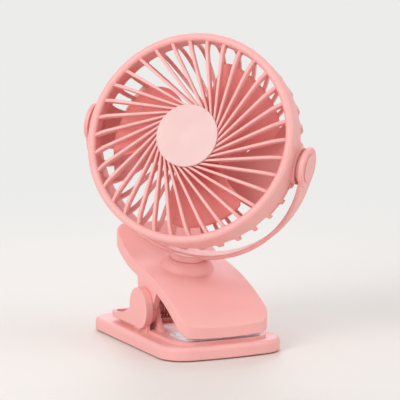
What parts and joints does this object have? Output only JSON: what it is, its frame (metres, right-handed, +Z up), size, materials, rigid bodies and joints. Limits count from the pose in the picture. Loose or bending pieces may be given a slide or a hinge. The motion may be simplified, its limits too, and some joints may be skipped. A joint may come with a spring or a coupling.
{
  "type": "clip fan",
  "caption": "Caged fan head that nods in a swivelling half-hoop yoke on a sprung jaw clip, which also stands flat on a table.",
  "frame": {"origin": "on the table plane under the middle of the clip's base, at the underside of its grip sheet", "axes": "+Z up, -Y towards the clip's mouth, X across the clip"},
  "size_m": [0.1299, 0.1547, 0.2104],
  "materials": {
    "body": "satin, fine moulded skin",
    "cap": "satin",
    "blades": "satin",
    "silicone": "translucent white, smooth",
    "grip": "matte",
    "steel": "satin",
    "spring": "drawn wire",
    "motor_metal": "satin",
    "washer": "low-friction, matte",
    "cell": "foil pouch",
    "board": "lacquered",
    "port": "bright",
    "lens": "clear, milky"
  },
  "bodies": {
    "base": {"base_shell": "body", "base_cover": "body", "base_screws": "steel", "grip_sheet": "grip", "base_pad": "silicone", "hinge_pins": "steel", "torsion_springs": "spring", "battery": "cell", "control_board": "board", "usb_port": "port", "indicator_lens": "lens"},
    "upper_jaw": {"jaw_shell": "body", "jaw_floor": "body", "floor_screws": "steel", "jaw_pad": "silicone"},
    "button": {"power_button": "body"},
    "yoke": {"yoke_arm": "body", "swivel_washer": "washer", "swivel_screw": "steel", "pivot_caps": "body"},
    "head": {"front_grille": "body", "front_cap": "cap", "rear_grille": "body", "motor": "motor_metal", "motor_cover": "body", "motor_screws": "steel", "pivot_screws": "steel", "pivot_washers": "washer"},
    "rotor": {"fan_blades": "blades", "motor_shaft": "steel"}
  },
  "joints": [
    {"name": "clip_open", "type": "hinge", "parent": "base", "child": "upper_jaw", "pos_m": [0, -0.0037, 0.0257], "axis": [-1, 0, 0], "range_deg": [0, 35], "stiffness_Nm_per_rad": 0.5, "springref_deg": -74.48, "deforming": ["torsion_springs"]},
    {"name": "button_press", "type": "slide", "parent": "base", "child": "button", "axis": [0, -1, 0], "range_m": [0, 0.0005], "stiffness_N_per_m": 400, "springref_m": -0.002},
    {"name": "swivel", "type": "hinge", "parent": "upper_jaw", "child": "yoke", "pos_m": [0, -0.00171, 0.05764], "axis": [0, -0.2134, 0.977], "range_deg": [-180, 180]},
    {"name": "head_tilt", "type": "hinge", "parent": "yoke", "child": "head", "pos_m": [0, -0.01891, 0.13638], "axis": [0.6693, -0.7259, -0.1585], "range_deg": [-180, 180]},
    {"name": "blade_spin", "type": "hinge", "parent": "head", "child": "rotor", "pos_m": [0, -0.01891, 0.13638], "axis": [-0.6581, -0.6782, 0.3272], "continuous": true}
  ]
}
